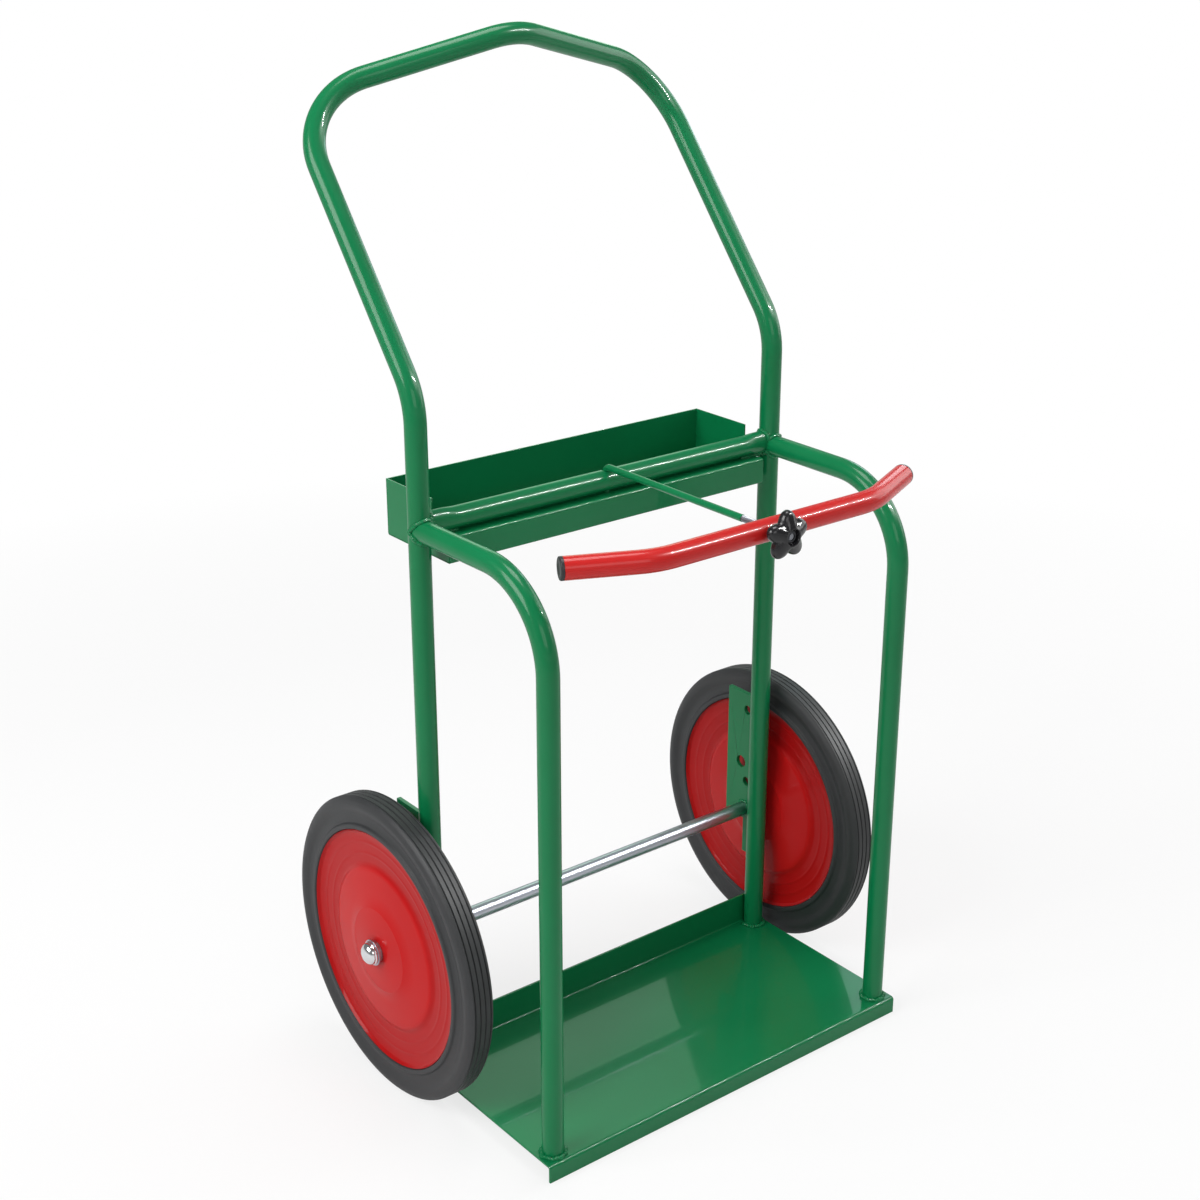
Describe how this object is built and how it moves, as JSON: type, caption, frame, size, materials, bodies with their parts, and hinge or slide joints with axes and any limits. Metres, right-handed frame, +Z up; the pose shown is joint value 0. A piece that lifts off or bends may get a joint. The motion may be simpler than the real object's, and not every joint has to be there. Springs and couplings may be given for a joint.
{
  "type": "gas cylinder trolley",
  "caption": "Upright hand trolley with a bent tube frame, low sheet deck, open tool tray, solid-tyred wheels and a screw clamp bar that holds gas cylinders side by side.",
  "frame": {"origin": "on the floor, under the middle of the trolley's bounding box", "axes": "+Z up, -Y the front where cylinders are loaded, +X to the right as seen from the front looking along +Y"},
  "size_m": [0.7296, 0.5782, 1.297],
  "materials": {
    "green_paint": "gloss enamel on steel",
    "red_paint": "gloss enamel on steel",
    "tyre": "satin solid rubber",
    "black_plastic": "gloss",
    "bare_steel": "drawn and bright",
    "chrome": "polished"
  },
  "bodies": {
    "chassis": {"base_plate": "green_paint", "rear_frame": "green_paint", "left_side_arm": "green_paint", "right_side_arm": "green_paint", "cross_tube": "green_paint", "tool_tray": "green_paint", "left_axle_bracket": "green_paint", "right_axle_bracket": "green_paint", "axle": "bare_steel", "left_axle_spacer": "bare_steel", "left_inner_washer": "bare_steel", "left_outer_washer": "bare_steel", "left_hub_cap": "chrome", "right_axle_spacer": "bare_steel", "right_inner_washer": "bare_steel", "right_outer_washer": "bare_steel", "right_hub_cap": "chrome"},
    "left_wheel": {"left_tyre": "tyre", "left_outer_disc": "red_paint", "left_inner_disc": "red_paint", "left_hub_tube": "bare_steel"},
    "right_wheel": {"right_tyre": "tyre", "right_outer_disc": "red_paint", "right_inner_disc": "red_paint", "right_hub_tube": "bare_steel"},
    "clamp_arm": {"clamp_rod": "green_paint"},
    "clamp_crossbar": {"clamp_bar": "red_paint", "left_bar_plug": "black_plastic", "right_bar_plug": "black_plastic", "clamp_washer": "bare_steel"},
    "knob": {"clamp_knob": "black_plastic", "knob_insert": "bare_steel"}
  },
  "joints": [
    {"name": "left_wheel_spin", "type": "hinge", "parent": "chassis", "child": "left_wheel", "pos_m": [-0.3212, 0.07657, 0.2], "axis": [1, 0, 0], "continuous": true},
    {"name": "right_wheel_spin", "type": "hinge", "parent": "chassis", "child": "right_wheel", "pos_m": [0.3212, 0.07657, 0.2], "axis": [1, 0, 0], "continuous": true},
    {"name": "clamp_rod_swivel", "type": "hinge", "parent": "chassis", "child": "clamp_arm", "pos_m": [0, 0.04837, 0.77775], "axis": [0, 0, 1], "range_deg": [-8, 8]},
    {"name": "clamp_bar_slide", "type": "slide", "parent": "clamp_arm", "child": "clamp_crossbar", "axis": [0, 1, 0], "range_m": [0, 0.04]},
    {"name": "knob_turn", "type": "hinge", "parent": "clamp_crossbar", "child": "knob", "pos_m": [0, -0.25003, 0.77775], "axis": [0, 1, 0], "range_deg": [0, 11520]}
  ],
  "couplings": [
    {"joint": "knob_turn", "follows": "clamp_bar_slide", "rad_per_m": 5026.5}
  ]
}
